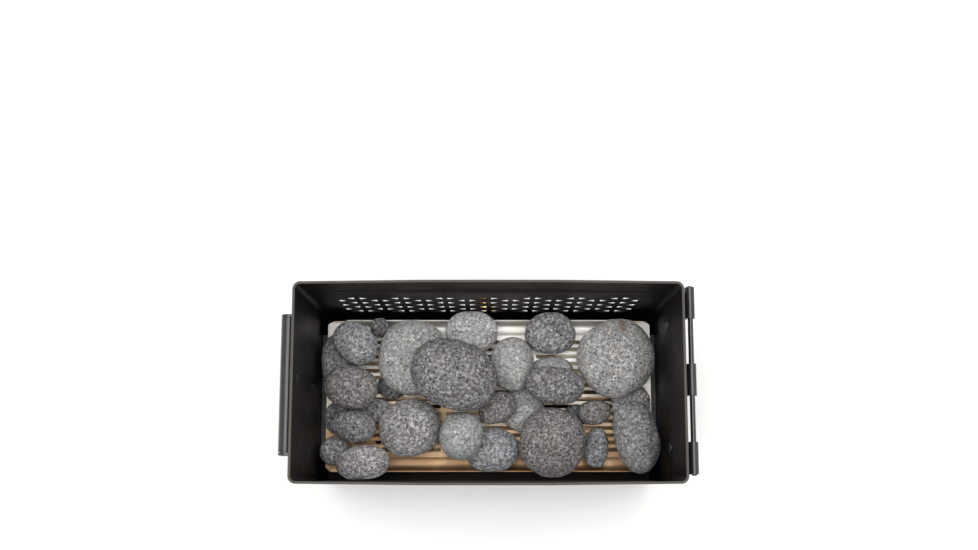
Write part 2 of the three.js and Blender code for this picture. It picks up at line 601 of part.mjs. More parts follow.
// How low and how high a stone reaches at each whole millimetre round its middle.
function columnsOf(stone) {
  const [a, b, c] = stone.half;
  const reach = Math.ceil(Math.max(a, b) + STONE.room);
  const [cos, sin] = [Math.cos(stone.turn), Math.sin(stone.turn)];
  const shape = { columns: [], reachX: 0, reachY: 0 };
  for (let dx = -reach; dx <= reach; dx++)
    for (let dy = -reach; dy <= reach; dy++) {
      const u = Math.abs((dx * cos + dy * sin) / (a + STONE.room));
      const v = Math.abs((dy * cos - dx * sin) / (b + STONE.room));
      const inside = 1 - u ** STONE.power - v ** STONE.power;
      if (inside <= 0) continue;
      const rise = c * inside ** (1 / STONE.power);
      const lean = dx * stone.leanX + dy * stone.leanY;
      shape.columns.push({ dx, dy, low: lean - rise, high: lean + rise });
      shape.reachX = Math.max(shape.reachX, Math.abs(dx));
      shape.reachY = Math.max(shape.reachY, Math.abs(dy));
    }
  return shape;
}

// Lays the stones in turn on the tray and on each other. Each slides a little way if that lets it lie lower.
function settle(stones) {
  const bed = new Bed();
  for (const stone of stones) {
    const shape = columnsOf(stone);
    let best = { cost: Infinity };
    for (let x = stone.x - SLIDE.reach; x <= stone.x + SLIDE.reach; x++)
      for (let y = stone.y - SLIDE.reach; y <= stone.y + SLIDE.reach; y++) {
        if (!bed.holds(shape, x, y)) continue;
        const z = bed.restingHeight(shape, x, y);
        const cost = z + SLIDE.cost * Math.hypot(x - stone.x, y - stone.y);
        if (cost < best.cost) best = { cost, x, y, z };
      }
    Object.assign(stone, { x: best.x, y: best.y, z: best.z });
    bed.lay(shape, best.x, best.y, best.z);
  }
}

// A water-worn pebble: a slightly boxy ellipsoid with a few broad, shallow hollows.
function pebble(stone, index) {
  const geometry = new THREE.IcosahedronGeometry(1, STONE.detail);
  const position = geometry.attributes.position;
  const direction = new THREE.Vector3();
  const [a, b, c] = stone.half;
  const [cos, sin] = [Math.cos(stone.turn), Math.sin(stone.turn)];
  for (let i = 0; i < position.count; i++) {
    direction.fromBufferAttribute(position, i).normalize();
    const { x, y, z } = direction;
    const power = STONE.power;
    const boxy = (Math.abs(x) ** power + Math.abs(y) ** power + Math.abs(z) ** power) ** (-1 / power);
    const broad = Math.sin(2.3 * x + 1.7 * index) * Math.cos(2.1 * y + 2.9 * index);
    const waves = broad + Math.sin(1.9 * z + index);
    const scale = boxy * (1 - STONE.hollow * (0.5 + waves / 4));
    const [px, py] = [scale * a * x, scale * b * y];
    const lean = (px * cos - py * sin) * stone.leanX + (px * sin + py * cos) * stone.leanY;
    position.setXYZ(i, px, py, scale * c * z + lean);
  }
  geometry.computeVertexNormals();
  return geometry;
}

function stoneBed() {
  settle(laid);
  const group = new THREE.Group();
  laid.forEach((stone, i) => {
    const name = "lava_stone_" + String(i + 1).padStart(2, "0");
    const mesh = node(name, pebble(stone, i + 1), STONE_SHADES[stone.shade]);
    placed(mesh, stone.x, stone.y, stone.z);
    mesh.rotation.z = stone.turn;
    group.add(mesh);
  });
  return group;
}

// ---- Assembly -------------------------------------------------------------------------------

function hinge() {
  const group = new THREE.Group();
  group.position.y = HINGE.middleY;
  group.add(node("hinge_leaf", hingeLeaf(), DARK_STEEL));
  group.add(node("hinge_pin", hingePin(), DARK_STEEL));
  const leafGrip = 2 * SHEET + 3 * GAP;
  for (const [name, y] of [["hinge_rivet_front", -LEAF.rivetY], ["hinge_rivet_back", LEAF.rivetY]])
    group.add(placed(node(name, rivet(leafGrip), STAINLESS), endWall + GAP / 2, y, LEAF.rivetZ));
  return group;
}

function latch() {
  const group = new THREE.Group();
  group.add(node("latch_bracket", latchBracket(), DARK_STEEL));
  group.add(node("latch_pivot_tube", latchPivotTube(), DARK_STEEL));
  group.add(node("latch_lever", latchLever(), DARK_STEEL));
  group.add(node("latch_bail", latchBail(), DARK_STEEL));
  return group;
}

function burner() {
  const group = new THREE.Group();
  group.add(node("burner_pan", burnerPan(), HEATED_STEEL));
  const supportGrip = SHEET + SUPPORT.sheet + 3 * GAP;
  for (const [side, turn] of [["right", 0], ["left", Math.PI]]) {
    const end = new THREE.Group();
    end.rotation.z = turn;
    end.add(node("pan_support_" + side, panSupport(), DARK_STEEL));
    const front = turn ? SUPPORT.rivetY : -SUPPORT.rivetY;
    for (const [place, y] of [["front", front], ["back", -front]]) {
      const fixing = node(`support_rivet_${side}_${place}`, rivet(supportGrip), DARK_STEEL);
      end.add(placed(fixing, endWall - (SHEET + SUPPORT.sheet + GAP) / 2, y, SUPPORT.rivetZ));
    }
    end.add(placed(node("burner_cap_" + side, burnerCap(), STAINLESS), BURNER.halfLength, 0, BURNER.z));
    end.add(placed(node("burner_saddle_" + side, burnerSaddle(), STAINLESS), SADDLE.x, 0, BURNER.z));
    group.add(end);
  }
  group.add(node("burner_tube", burnerTube(), STAINLESS));
  group.add(node("mixer_tube", mixerTube(), STAINLESS));
  group.add(node("gas_jet", gasJet(), BRASS));
  group.add(node("gas_inlet", gasInlet(), BRASS));
  group.add(node("bulkhead_washer", bulkheadWasher(), BRASS));
  group.add(node("bulkhead_nut", bulkheadNut(), BRASS));
  return group;
}

const heater = new THREE.Group();
heater.add(node("can_body", canBody(), BLACK_PAINT));
heater.add(hinge(), latch(), burner());
heater.add(node("stone_tray", stoneTray(), STAINLESS));
heater.add(stoneBed());

export default heater;
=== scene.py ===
# %% [markdown]
# # A gas stone heater box
#
# The object is an open steel box of ammunition-can pattern. Triangular vents let air into its long
# walls, a gas burner lies in a pan on its floor, and a slotted stainless tray over the burner carries a
# bed of lava stones. The CAD model already holds every size, joint and place. This lesson gives each
# part its finish, and models the detail that the CAD leaves out: rounded sheet edges, welds, threads,
# and the bubbly skin of the stones.

# %% Load the frame
import json
import math

import bpy
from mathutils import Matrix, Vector


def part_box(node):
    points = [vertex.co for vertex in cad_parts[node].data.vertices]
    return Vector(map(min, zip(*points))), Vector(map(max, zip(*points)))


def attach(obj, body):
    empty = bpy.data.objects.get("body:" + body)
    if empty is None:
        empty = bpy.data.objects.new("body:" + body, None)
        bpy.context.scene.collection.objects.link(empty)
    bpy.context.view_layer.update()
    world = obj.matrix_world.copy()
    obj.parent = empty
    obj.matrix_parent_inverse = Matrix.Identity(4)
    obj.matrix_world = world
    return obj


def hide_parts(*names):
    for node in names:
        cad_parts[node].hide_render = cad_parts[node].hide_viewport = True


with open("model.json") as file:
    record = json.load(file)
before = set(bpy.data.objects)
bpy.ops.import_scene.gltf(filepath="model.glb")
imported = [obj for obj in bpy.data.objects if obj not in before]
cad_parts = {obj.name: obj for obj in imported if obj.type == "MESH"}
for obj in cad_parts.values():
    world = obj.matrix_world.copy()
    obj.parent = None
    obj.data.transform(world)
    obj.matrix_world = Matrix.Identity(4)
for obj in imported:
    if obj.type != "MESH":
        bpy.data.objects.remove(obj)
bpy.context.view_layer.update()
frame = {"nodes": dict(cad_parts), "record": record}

MM = 0.001

# %% [markdown]
# ## The camera
#
# The box is seen from almost straight above, from the height of someone who leans over it. A camera
# that looks straight down would put the box in the middle of the view. Here the box sits low in the
# view, so the lens is shifted up, as a view camera's is, and the camera is tipped forward a little to
# need less of that shift.

# %% Camera
CAMERA_TILT = math.radians(8)
CAMERA_PLACE = (0.0023, -0.0727, 0.9338)
SENSOR_WIDTH = 36
FOCAL_LENGTH = 38.8
SHIFT_RIGHT = -0.0026
SHIFT_UP = 0.0616

camera_data = bpy.data.cameras.new("camera")
camera_data.sensor_width = SENSOR_WIDTH
camera_data.lens = FOCAL_LENGTH
camera_data.shift_x = SHIFT_RIGHT
camera_data.shift_y = SHIFT_UP
camera = bpy.data.objects.new("camera", camera_data)
camera.location = CAMERA_PLACE
camera.rotation_euler = (CAMERA_TILT, 0, 0)
bpy.context.scene.collection.objects.link(camera)
bpy.context.scene.camera = camera
rim_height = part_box("can_body")[1].z
print("camera height over the rim in mm:", round((CAMERA_PLACE[2] - rim_height) / MM))

# %% [markdown]
# ## The studio
#
# Black paint shows only what it reflects, so the light matters more than the colour. One broad soft
# light hangs over the box. It reaches the stones past the high walls, and gives the rim and the latch
# their pale sheen. Two weaker ones at the sides fill the shadows. The floor is a plain pale sheet, and
# the surroundings are pale too, so the box seems to stand in a light tent.

# %% Floor, surroundings and lights
FLOOR_SIZE = 9.0
LIGHT_AIM = Vector((0, 0, 0.1))
# Each light's name, place, width, depth and brightness.
LIGHTS = (
    ("light_overhead", (-0.05, 0.1, 1.5), 1.3, 0.9, 3.8),
    ("light_left", (-1.5, -0.6, 0.9), 0.8, 0.8, 0.8),
    ("light_right", (1.5, -0.3, 0.8), 0.8, 0.8, 0.8),
)


def soft_light(name, place, width, depth, brightness):
    """A broad light aimed at the box. Its brightness doesn't change when its size does."""
    lamp = bpy.data.lights.new(name, "AREA")
    lamp.shape = "RECTANGLE"
    lamp.size = width
    lamp.size_y = depth
    lamp.energy = brightness * math.pi * width * depth
    holder = bpy.data.objects.new(name, lamp)
    holder.location = place
    holder.rotation_euler = (LIGHT_AIM - Vector(place)).to_track_quat("-Z", "Y").to_euler()
    bpy.context.scene.collection.objects.link(holder)


bpy.ops.object.select_all(action="DESELECT")
bpy.ops.mesh.primitive_plane_add(size=FLOOR_SIZE)
floor = bpy.context.object
floor.name = "floor"
floor_paint = bpy.data.materials.new("pale_floor")
floor_paint.use_nodes = True
floor_shader = floor_paint.node_tree.nodes["Principled BSDF"]
floor_shader.inputs["Base Color"].default_value = (0.93, 0.93, 0.925, 1)
floor_shader.inputs["Roughness"].default_value = 0.9
floor.data.materials.append(floor_paint)

surroundings = bpy.data.worlds.new("pale_surroundings")
surroundings.use_nodes = True
background = surroundings.node_tree.nodes["Background"]
background.inputs["Color"].default_value = (1, 0.995, 0.985, 1)
background.inputs["Strength"].default_value = 0.92
bpy.context.scene.world = surroundings
bpy.context.scene.view_settings.view_transform = "Standard"

for light in LIGHTS:
    soft_light(*light)

# %% [markdown]
# ## Helpers for finishes
#
# Every finish is a node tree on the Principled shader. `Finish` keeps the tree short to write: each of
# its methods adds one node and returns the socket that comes out of it. Sizes are given in millimetres,
# because that is how grain, pores and brush marks are measured on the bench.

# %% The Finish helper


class Finish:
    """A material being built up from nodes. All its patterns read Object coordinates."""

    def __init__(self, name, roughness, metallic=0.0):
        self.material = bpy.data.materials.new(name)
        self.material.use_nodes = True
        self.tree = self.material.node_tree
        self.shader = self.tree.nodes["Principled BSDF"]
        self.shader.inputs["Roughness"].default_value = roughness
        self.shader.inputs["Metallic"].default_value = metallic
        self.place = self.tree.nodes.new("ShaderNodeTexCoord").outputs["Object"]

    def feed(self, socket, value):
        """Joins a socket to another node's output, or sets it to a plain value."""
        if isinstance(value, bpy.types.NodeSocket):
            self.tree.links.new(value, socket)
        else:
            socket.default_value = value

    def node(self, kind, **inputs):
        """A node with these inputs, whose names have _ for each space."""
        made = self.tree.nodes.new(kind)
        for name, value in inputs.items():
            self.feed(made.inputs[name.replace("_", " ")], value)
        return made

    def stretched(self, x, y, z):
        """Coordinates squeezed by these factors, so that a pattern runs long where its factor is small."""
        return self.node("ShaderNodeMapping", Vector=self.place, Scale=(x, y, z)).outputs[0]

    def grain(self, size, detail=3.0, roughness=0.55, place=None):
        """Soft random tone, from 0 to 1, with blots of about this size."""
        made = self.node("ShaderNodeTexNoise", Vector=place or self.place, Scale=1 / (size * MM))
        made.inputs["Detail"].default_value = detail
        made.inputs["Roughness"].default_value = roughness
        return made.outputs[0]

    def cells(self, size, shade=False):
        """Distance to the nearest of many scattered points, in cell widths, or that point's own tone."""
        made = self.node("ShaderNodeTexVoronoi", Vector=self.place, Scale=1 / (size * MM))
        return made.outputs["Color" if shade else "Distance"]

    def levels(self, value, low, high, to_low=0.0, to_high=1.0):
        """Stretches low..high to to_low..to_high, and holds the ends."""
        made = self.node("ShaderNodeMapRange", Value=value)
        made.inputs["From Min"].default_value = low
        made.inputs["From Max"].default_value = high
        made.inputs["To Min"].default_value = to_low
        made.inputs["To Max"].default_value = to_high
        return made.outputs[0]

    def combine(self, operation, a, b):
        """Two values added, multiplied, compared and so on."""
        made = self.tree.nodes.new("ShaderNodeMath")
        made.operation = operation
        self.feed(made.inputs[0], a)
        self.feed(made.inputs[1], b)
        return made.outputs[0]

    def axis(self, letter):
        """One coordinate of the place, in metres."""
        return self.node("ShaderNodeSeparateXYZ", Vector=self.place).outputs[letter]

    def ramp(self, value, *stops):
        """Colours along a value: each stop is a position and a colour."""
        made = self.node("ShaderNodeValToRGB", Fac=value)
        while len(made.color_ramp.elements) < len(stops):
            made.color_ramp.elements.new(0.5)
        for element, (position, colour) in zip(made.color_ramp.elements, stops):
            element.position = position
            element.color = (*colour, 1)
        return made.outputs[0]

    def mix(self, amount, a, b, blend="MIX"):
        """Two colours mixed, or multiplied and so on."""
        made = self.tree.nodes.new("ShaderNodeMix")
        made.data_type = "RGBA"
        made.blend_type = blend
        for index, value in ((0, amount), (6, a), (7, b)):
            self.feed(made.inputs[index], (*value, 1) if isinstance(value, tuple) else value)
        return made.outputs[2]

    def colour(self, value):
        """Sets or joins the base colour."""
        self.feed(self.shader.inputs["Base Color"], value)

    def roughness(self, value):
        """Sets or joins the roughness."""
        self.feed(self.shader.inputs["Roughness"], value)

    def relief(self, *layers):
        """Bumps from pairs of height (0 to 1) and depth in millimetres, each laid on the one before."""
        normal = None
        for height, depth in layers:
            bump = self.node("ShaderNodeBump", Height=height, Distance=depth * MM)
            if normal:
                self.feed(bump.inputs["Normal"], normal)
            normal = bump.outputs[0]
        self.feed(self.shader.inputs["Normal"], normal)


def toned(colour, factor):
    """A colour made lighter or darker."""
    return tuple(channel * factor for channel in colour)


# %% [markdown]
# ## Painted steel
#
# The can is sprayed with a satin heat-proof black. Such paint is never flat: it has a faint orange-peel
# skin, soot and finger marks that change its gloss, and a thin, slightly browned dust over it. Round the
# mouth the very top of the rim is paler. That is partly wear where the lid has rubbed it, and partly a
# painted highlight for the sheen that the rim catches. The paler band is a mask on height, with a ragged
# lower edge.

# %% Black paint
RIM_WEAR_AND_HIGHLIGHT_DEPTH = 1.0 * MM
RIM_PALEST_DEPTH = 0.3 * MM
RIM_RAGGED = 0.7 * MM


def black_paint():
    """Satin paint, smudged and dusty, with a rim made paler by wear and by a painted highlight."""
    paint = Finish("baked_black_paint", 0.5)
    paint.shader.inputs["Specular IOR Level"].default_value = 0.21
    paint.shader.inputs["Specular Tint"].default_value = (1, 0.9, 0.87, 1)
    smudge = paint.grain(38, detail=5, roughness=0.6)
    dust = paint.grain(2.2, detail=4, roughness=0.7)
    body = paint.ramp(smudge, (0.3, (0.005, 0.0039, 0.0037)), (0.7, (0.0105, 0.0084, 0.008)))
    dusty = paint.mix(paint.levels(dust, 0.56, 0.8, 0, 0.4), body, (0.032, 0.028, 0.0265))
    ragged = paint.levels(paint.grain(3), 0, 1, -RIM_RAGGED, RIM_RAGGED)
    height = paint.combine("ADD", paint.axis("Z"), ragged)
    # Painted highlight, with some real wear: the top of the rim is mixed towards a paler colour.
    rim = paint.levels(height, rim_height - RIM_WEAR_AND_HIGHLIGHT_DEPTH, rim_height - RIM_PALEST_DEPTH)
    paint.colour(paint.mix(rim, dusty, (0.066, 0.061, 0.053)))
    paint.roughness(paint.levels(smudge, 0.25, 0.75, 0.4, 0.58))
    paint.relief((paint.grain(0.9, detail=2), 0.035), (paint.grain(24, detail=1), 0.25))
    return paint.material


BLACK_PAINT = black_paint()
print("made", BLACK_PAINT.name)

# %% [markdown]
# The hinge and the latch have a thinner, greyer coat. Hands and the lid have polished their edges. The
# bevel that rounds those edges gets a material of its own, so that the wear follows every edge exactly.

# %% Dark coated steel, and the same coat where it is rubbed


def dark_steel(name, rubbed):
    """Thin grey coat, with a few scuffs, or rubbed nearly through."""
    coat = Finish(name, 0.34)
    coat.shader.inputs["Specular IOR Level"].default_value = 0.56
    blot = coat.grain(9, detail=4)
    scuff = coat.grain(1.6, detail=5, roughness=0.7)
    grey = coat.ramp(blot, (0.3, (0.013, 0.0128, 0.014)), (0.72, (0.024, 0.0235, 0.025)))
    worn = coat.levels(scuff, 0.35, 0.7, 0.1, 0.9) if rubbed else coat.levels(scuff, 0.66, 0.8, 0, 0.3)
    coat.colour(coat.mix(worn, grey, (0.062, 0.061, 0.062)))
    coat.roughness(coat.levels(blot, 0.3, 0.7, 0.17, 0.27))
    coat.relief((coat.grain(0.7, detail=2), 0.012), (scuff, 0.012))
    return coat.material


DARK_STEEL = dark_steel("dark_coated_steel", rubbed=False)
# The rubbed coat is real wear on the rounded edges, and a painted highlight on the weld spots.
RUBBED_AND_HIGHLIGHT_STEEL = dark_steel("dark_coated_steel_rubbed", rubbed=True)
print("made", DARK_STEEL.name, "and", RUBBED_AND_HIGHLIGHT_STEEL.name)

# %% [markdown]
# ## Bare metals
#
# Stainless sheet comes from the mill with fine brush lines along its length. They are a noise pattern
# stretched fiftyfold along X. The tray has also been fired: the oxide that grows in the heat turns it
# straw, then bronze, then brown. It shows most along the front gutter and hardly at all at the back, so
# the tint is driven by how far forward a point lies, broken up by a slow noise.

# %% Stainless steel with heat tint
TINT_BACK_Y = 30 * MM
TINT_FRONT_Y = -50 * MM


def stainless(name, tint_front, tint_back, polish):
    """Brushed sheet whose heat tint rises from tint_back, near the back, to tint_front, near the front."""
    steel = Finish(name, 0.3, 1.0)
    lines = steel.grain(0.5, detail=3, place=steel.stretched(0.02, 1, 1))
    wide_lines = steel.grain(3, detail=3, place=steel.stretched(0.04, 1, 1))
    cloud = steel.grain(46, detail=3, roughness=0.6)
    forward = steel.levels(steel.axis("Y"), TINT_BACK_Y, TINT_FRONT_Y, tint_back, tint_front)
    heat = steel.combine("ADD", forward, steel.levels(cloud, 0.3, 0.7, -0.28, 0.28))
    streaks = steel.levels(wide_lines, 0.35, 0.75, 0, 0.22)
    tinted = steel.ramp(
        heat,
        (0.05, (0.86, 0.845, 0.81)),
        (0.35, (0.78, 0.69, 0.56)),
        (0.6, (0.66, 0.47, 0.28)),
        (0.85, (0.42, 0.26, 0.14)),
    )
    steel.colour(steel.mix(streaks, tinted, (0.34, 0.32, 0.3)))
    steel.roughness(steel.levels(lines, 0.3, 0.7, polish, polish + 0.16))
    steel.relief((lines, 0.02), (cloud, 0.2))
    return steel.material


TRAY_STEEL = stainless("fired_tray_steel", 0.86, -0.02, 0.44)
PAN_STEEL = stainless("pan_steel", 0.8, 0.45, 0.28)
BURNER_STEEL = stainless("burner_steel", 0.95, 0.8, 0.26)
print("made", TRAY_STEEL.name, PAN_STEEL.name, BURNER_STEEL.name)

# %% [markdown]
# Brass fittings are turned on a lathe, which leaves fine rings, and they dull to brown near the fire.
# The nut inside the box sits close to the burner, so soot has blackened it.

# %% Brass


def brass(name, dullest, brightest, polish):
    """Turned metal that varies between two colours. Polish is its lowest roughness."""
    metal = Finish(name, 0.3, 1.0)
    rings = metal.grain(0.35, detail=2, place=metal.stretched(0.05, 1, 0.05))
    dull = metal.grain(5, detail=4)
    metal.colour(metal.ramp(dull, (0.3, dullest), (0.62, brightest)))
    metal.roughness(metal.levels(dull, 0.3, 0.7, polish + 0.16, polish))
    metal.relief((rings, 0.02))
    return metal.material


BRASS = brass("turned_brass", (0.3, 0.18, 0.075), (0.56, 0.38, 0.17), 0.28)
SOOTED_BRASS = brass("sooted_brass", (0.03, 0.024, 0.019), (0.075, 0.058, 0.04), 0.45)
print("made", BRASS.name, "and", SOOTED_BRASS.name)

# %% [markdown]
# ## Lava stone
#
# Tumbled lava is a grey stone full of burst bubbles, with glassy crystals between them. From arm's
# length the bubbles read as dark specks and the crystals as light ones. Three things make it up: a slow
# change of tone across the stone, a peppering of light and dark grain, and pores that are hollow in
# relief and darkened in colour by painted shade. The larger hollows are carved in the mesh later, and
# only what is finer than the mesh is left to the relief.
#
# Six shades differ in colour, in how coarse the pores are, and in how strongly the specks stand out.
# Four stones have a finish of their own: one carries a streak of rust, one is the palest of all, one is
# slate grey, and one has the coarsest pores. The palest stone and the coarse one lie by the back wall,
# and part of their lightness is painted light that makes up for that wall's shade.

# %% Stone finishes
RUST_AT = (107, 52)
RUST_WIDE = 4
RUST_LONG = 9


def lava(name, colour, grit, pore, contrast, glint, rusted=False):
    """Stone of this colour. Grit and pore are the spacing of its grains and bubbles in mm, contrast is how
    far its specks stand out, and glint is the share of light crystals."""
    stone = Finish(name, 0.9)
    stone.shader.inputs["Specular IOR Level"].default_value = 0.3
    cloud = stone.grain(19, detail=3)
    blush = stone.grain(11, detail=2)
    pepper = stone.grain(grit, detail=4, roughness=0.85)
    patches = stone.grain(8, detail=2)
    base = stone.ramp(cloud, (0.3, toned(colour, 0.84)), (0.7, toned(colour, 1.14)))
    base = stone.mix(stone.levels(blush, 0.5, 0.72, 0, 0.35), base, (1.1, 0.98, 0.94), "MULTIPLY")
    dark, pale = 1 - 0.72 * contrast, 1 + 1.5 * contrast
    speckle = stone.ramp(
        pepper,
        (0.36, (dark,) * 3),
        (0.47, (1 - 0.3 * contrast,) * 3),
        (0.54, (1 + 0.15 * contrast,) * 3),
        (0.66, (pale,) * 3),
    )
    grainy = stone.mix(1.0, base, speckle, "MULTIPLY")
    hollow = stone.combine(
        "MULTIPLY",
        stone.levels(stone.cells(pore), 0.36, 0.18),
        stone.levels(patches, 0.4, 0.58, 0.1, 1.0),
    )
    # Painted shade: the pores are darkened towards a dark copy of the stone's colour.
    shadow = stone.combine("MULTIPLY", hollow, 0.4 + 0.55 * contrast)
    pitted = stone.mix(shadow, grainy, toned(colour, 0.16))
    crystal = stone.levels(stone.cells(pore * 0.9, shade=True), 1 - glint, 1 - glint * 0.5)
    near = stone.levels(stone.cells(pore * 0.9), 0.4, 0.2)
    skin = stone.mix(stone.combine("MULTIPLY", crystal, near), pitted, toned(colour, 2.4))
    if rusted:
        streak = stone.node("ShaderNodeMapping", Vector=stone.place)
        streak.inputs["Scale"].default_value = (1 / (RUST_WIDE * MM), 1 / (RUST_LONG * MM), 0)
        streak.inputs["Location"].default_value = (-RUST_AT[0] / RUST_WIDE, -RUST_AT[1] / RUST_LONG, 0)
        spot = stone.node("ShaderNodeTexGradient", Vector=streak.outputs[0])
        spot.gradient_type = "SPHERICAL"
        skin = stone.mix(stone.levels(spot.outputs[1], 0.05, 0.6, 0, 0.65), skin, (0.2, 0.105, 0.07))
    stone.colour(skin)
    stone.relief((pepper, 0.5 * contrast), (stone.levels(hollow, 0, 1, 1, 0), 0.6))
    return stone.material


# Each finish's name, colour, grit, pore, contrast and glint.
STONE_FINISHES = {
    "stone_light": lava("lava_light", (0.375, 0.372, 0.36), 2.4, 2.3, 0.62, 0.25),
    "stone_grey": lava("lava_grey", (0.3, 0.293, 0.286), 2.8, 2.5, 0.9, 0.35),
    "stone_dark": lava("lava_dark", (0.19, 0.184, 0.186), 2.6, 3.0, 1.0, 0.3),
    "stone_brown": lava("lava_brown", (0.205, 0.194, 0.187), 2.2, 2.4, 1.0, 0.35),
    "stone_blue": lava("lava_blue", (0.265, 0.27, 0.281), 2.8, 2.7, 0.85, 0.25),
    "stone_green": lava("lava_green", (0.325, 0.335, 0.326), 2.4, 2.6, 0.6, 0.2),
}
OWN_FINISHES = {
    "stone_12": lava("lava_rusted", (0.35, 0.345, 0.333), 2.4, 2.4, 0.75, 0.3, rusted=True),
    "stone_15": lava("lava_slate", (0.235, 0.234, 0.234), 2.8, 2.5, 0.8, 0.3),
    # Paler partly as painted light, for the shade of the back wall beside this stone.
    "stone_16": lava("lava_pale", (0.5, 0.5, 0.49), 2.4, 2.4, 0.7, 0.25),
    # Lighter than the dark shade partly as painted light, for the shade of the back wall beside this
    # stone.
    "stone_18": lava("lava_coarse", (0.27, 0.266, 0.266), 2.8, 3.4, 1.0, 0.3),
}
print("made", len(STONE_FINISHES), "shades and", len(OWN_FINISHES), "finishes for single stones")

# %% [markdown]
# ## Helpers for shaping
#
# An operator works on whatever is selected, and loading the frame leaves its parts selected. `pick`
# therefore clears the selection first. `merged_copy` takes a CAD part as raw stock: it copies the mesh,
# welds its loose triangles to one skin and clears the needless edges out of its flat faces, so that
# modifiers can work on it.

# %% Picking, copying and dressing a piece
WELD_DISTANCE = 0.002 * MM
FLAT_ANGLE = math.radians(0.4)
SHARP_ANGLE = math.radians(35)


def pick(piece):
    """Selects this object alone."""
    bpy.ops.object.select_all(action="DESELECT")
    piece.select_set(True)
    bpy.context.view_layer.objects.active = piece


def merged_copy(node, name, flatten=True):
    """A CAD part's mesh as one skin in a new object."""
    piece = bpy.data.objects.new(name, frame["nodes"][node].data.copy())
    piece.data.name = name
    piece.data.materials.clear()
    bpy.context.scene.collection.objects.link(piece)
    pick(piece)
    bpy.ops.mesh.customdata_custom_splitnormals_clear()
    bpy.ops.object.mode_set(mode="EDIT")
    bpy.ops.mesh.select_all(action="SELECT")
    bpy.ops.mesh.remove_doubles(threshold=WELD_DISTANCE)
    if flatten:
        bpy.ops.mesh.dissolve_limited(angle_limit=FLAT_ANGLE)
    bpy.ops.object.mode_set(mode="OBJECT")
    return piece


def finish_modifier(piece, kind, **settings):
    """Adds a modifier with these settings and applies it."""
    modifier = piece.modifiers.new(kind.lower(), kind)
    for name, value in settings.items():
        setattr(modifier, name, value)
    pick(piece)
    bpy.ops.object.modifier_apply(modifier=modifier.name)


def round_edges(piece, radius, segments=2, worn=None):
    """Rounds the sharp edges. A worn material, if there is one, goes on the rounding alone."""
    if worn:
        piece.data.materials.append(worn)
    finish_modifier(
        piece,
        "BEVEL",
        width=radius * MM,
        segments=segments,
        limit_method="ANGLE",
        angle_limit=SHARP_ANGLE,
        material=1 if worn else -1,
        use_clamp_overlap=True,
    )


def smooth(piece):
    """Smooth shading that keeps the sharp edges sharp."""
    pick(piece)
    bpy.ops.object.shade_smooth_by_angle(angle=SHARP_ANGLE)


def dress(piece, material, slot, body, *nodes):
    """Gives a piece its finish and the body it rides on, and hides the CAD parts it stands for. The slot
    is not used.
    """
    if piece.data.materials:
        piece.data.materials[0] = material
    else:
        piece.data.materials.append(material)
    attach(piece, body)
    if nodes:
        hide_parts(*nodes)


def describe(piece):
    """Prints a piece's faces and size."""
    faces = len(piece.data.polygons)
    print(f"{piece.name}: {faces} faces, size in mm", [round(side / MM, 1) for side in piece.dimensions])


# %% [markdown]
# ## Sheet-metal parts
#
# A sheared or punched sheet edge is never knife sharp: shearing rounds one side over and leaves a burr
# on the other, and paint softens both. The CAD parts have the right shapes with ideal edges, so each is
# copied, its edges are rounded by a small bevel, and the bevel is where worn paint shows. Each face's
# normals are then weighted by its size, or the broad walls would seem to dent round every small hole.

# %% Round the edges of the formed parts
# Each part's CAD name, its new name, the radius of its edges in mm, its finish, the finish of its worn
# edges, its slot and the body it rides on.
SHEET_PARTS = (
    ("can_body", "can_shell", 0.3, BLACK_PAINT, None, "black_paint", "can"),
    ("hinge_leaf", "hinge_half", 0.35, DARK_STEEL, RUBBED_AND_HIGHLIGHT_STEEL, "dark_steel", "can"),
    ("hinge_pin", "hinge_rod", 0.4, DARK_STEEL, RUBBED_AND_HIGHLIGHT_STEEL, "dark_steel", "can"),
    ("latch_bracket", "latch_mount", 0.35, DARK_STEEL, RUBBED_AND_HIGHLIGHT_STEEL, "dark_steel", "can"),
    ("latch_pivot_tube", "latch_pivot", 0.2, DARK_STEEL, None, "dark_steel", "can"),
    ("latch_lever", "latch_handle", 0.35, DARK_STEEL, RUBBED_AND_HIGHLIGHT_STEEL, "dark_steel", "latch_lever"),
    ("stone_tray", "slotted_tray", 0.2, TRAY_STEEL, None, "stainless", "tray"),
    ("burner_pan", "pan", 0.2, PAN_STEEL, None, "stainless", "can"),
    ("pan_support_left", "pan_rail_left", 0.3, DARK_STEEL, None, "dark_steel", "can"),
    ("pan_support_right", "pan_rail_right", 0.3, DARK_STEEL, None, "dark_steel", "can"),
    ("burner_tube", "burner", 0.15, BURNER_STEEL, None, "heated_steel", "can"),
    ("burner_cap_left", "burner_end_left", 0.3, BURNER_STEEL, None, "stainless", "can"),
    ("burner_cap_right", "burner_end_right", 0.3, BURNER_STEEL, None, "stainless", "can"),
    ("burner_saddle_left", "burner_foot_left", 0.25, BURNER_STEEL, None, "stainless", "can"),
    ("burner_saddle_right", "burner_foot_right", 0.25, BURNER_STEEL, None, "stainless", "can"),
    ("mixer_tube", "air_mixer", 0.2, BRASS, None, "brass", "can"),
    ("gas_jet", "jet", 0.15, BRASS, None, "brass", "can"),
    ("bulkhead_washer", "wall_washer", 0.15, TRAY_STEEL, None, "stainless", "can"),
    ("bulkhead_nut", "wall_nut", 0.4, SOOTED_BRASS, None, "brass", "can"),
    ("gas_inlet", "inlet_fitting", 0.3, BRASS, None, "brass", "can"),
)

for node, name, edge, material, worn, slot, body in SHEET_PARTS:
    part = merged_copy(node, name)
    part.data.materials.append(material)
    round_edges(part, edge, worn=worn)
    smooth(part)
    finish_modifier(part, "WEIGHTED_NORMAL", keep_sharp=True)
    dress(part, material, slot, body, node)
    describe(part)

